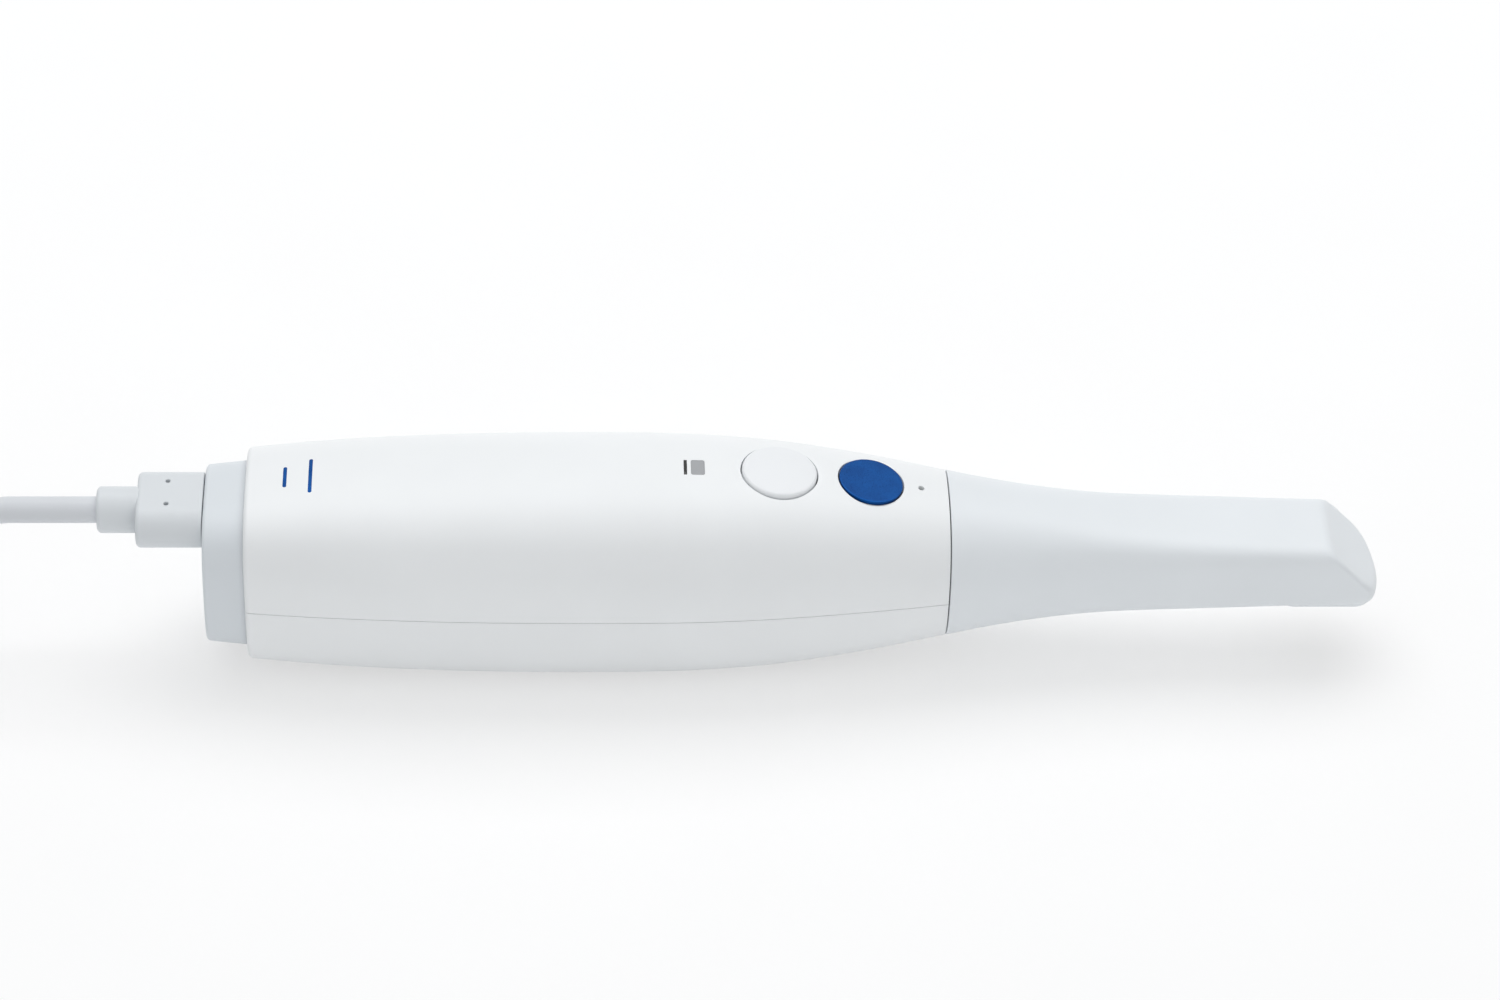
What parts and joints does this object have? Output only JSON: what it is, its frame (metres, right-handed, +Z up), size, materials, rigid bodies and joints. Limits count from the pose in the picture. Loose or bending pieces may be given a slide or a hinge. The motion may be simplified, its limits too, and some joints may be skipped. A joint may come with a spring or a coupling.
{
  "type": "intraoral scanner",
  "caption": "Handheld dental scanner: a smooth two-shell handle with two keys, a slip-on mirror tip and a folded cable on a rear plug.",
  "frame": {"origin": "middle of the bottom of the box round the handle and its tip, without the cable and its plugs", "axes": "+X from the rear cap to the tip, +Y across the handle, +Z up, the keys' side"},
  "size_m": [0.5188, 0.0516, 0.0474],
  "materials": {
    "body_white": "satin moulded",
    "cap_grey": "satin moulded",
    "sleeve_grey": "satin moulded",
    "key_white": "satin moulded",
    "key_blue": "anodised, fine grain",
    "status_dark": "gloss",
    "badge_grey": "matte print",
    "board_green": "solder mask",
    "chip_black": "matte",
    "inner_black": "matte moulded",
    "frame_metal": "die-cast",
    "screw_steel": "plated",
    "plug_steel": "plated, satin",
    "lens_glass": "coated",
    "lamp_clear": "clear dome",
    "mirror_silver": "first-surface mirror",
    "seal_rubber": "matte",
    "cable_grey": "soft matte jacket",
    "plug_grey": "satin moulded",
    "tie_fabric": "woven hook-and-loop strap",
    "ribbon_amber": "polyimide film"
  },
  "bodies": {
    "handle": {"upper_shell": "body_white", "lower_shell": "body_white", "rear_cap": "cap_grey", "rear_board": "board_green", "rear_socket": "screw_steel", "status_guide": "status_dark", "badge_plate": "badge_grey", "scan_switch": "inner_black", "confirm_switch": "inner_black", "key_board": "board_green", "main_board": "board_green", "board_chips": "chip_black", "heat_sink": "frame_metal", "air_lamp": "lamp_clear", "board_screws": "screw_steel", "optics_frame": "frame_metal", "frame_screws": "screw_steel", "camera_board": "board_green", "camera_left": "inner_black", "camera_right": "inner_black", "camera_lens_left": "lens_glass", "camera_lens_right": "lens_glass", "projector": "inner_black", "projector_lens": "lens_glass", "fan_frame": "inner_black", "rear_ribbon": "ribbon_amber", "camera_ribbon": "ribbon_amber", "nose_barrel": "inner_black", "nose_window": "lens_glass", "nose_seal": "seal_rubber"},
    "scan_key": {"scan_button": "key_white", "scan_plunger": "inner_black"},
    "confirm_key": {"confirm_disc": "key_blue", "confirm_carrier": "key_white", "confirm_plunger": "inner_black"},
    "fan": {"fan_rotor": "inner_black"},
    "tip": {"tip_sleeve": "sleeve_grey", "tip_mirror": "mirror_silver"},
    "cable": {"rear_plug": "plug_grey", "rear_plug_tongue": "plug_steel", "strain_relief": "plug_grey", "cord": "cable_grey", "cord_hank": "cable_grey", "cord_tail": "cable_grey", "cord_tie": "tie_fabric", "far_plug": "plug_grey", "far_plug_shell": "plug_steel"}
  },
  "joints": [
    {"name": "scan_button_press", "type": "slide", "parent": "handle", "child": "scan_key", "axis": [-0.0922, 0, -0.9957], "range_m": [0, 0.0006], "stiffness_N_per_m": 1500},
    {"name": "confirm_button_press", "type": "slide", "parent": "handle", "child": "confirm_key", "axis": [-0.1706, 0, -0.9853], "range_m": [0, 0.0004], "stiffness_N_per_m": 1500},
    {"name": "fan_spin", "type": "hinge", "parent": "handle", "child": "fan", "pos_m": [-0.106, 0, 0.0167], "axis": [1, 0, 0], "continuous": true},
    {"name": "tip_pull", "type": "slide", "parent": "handle", "child": "tip", "axis": [1, 0, 0], "range_m": [0, 0.055]},
    {"name": "plug_pull", "type": "slide", "parent": "handle", "child": "cable", "axis": [-1, 0, 0], "range_m": [0, 0.012]}
  ]
}
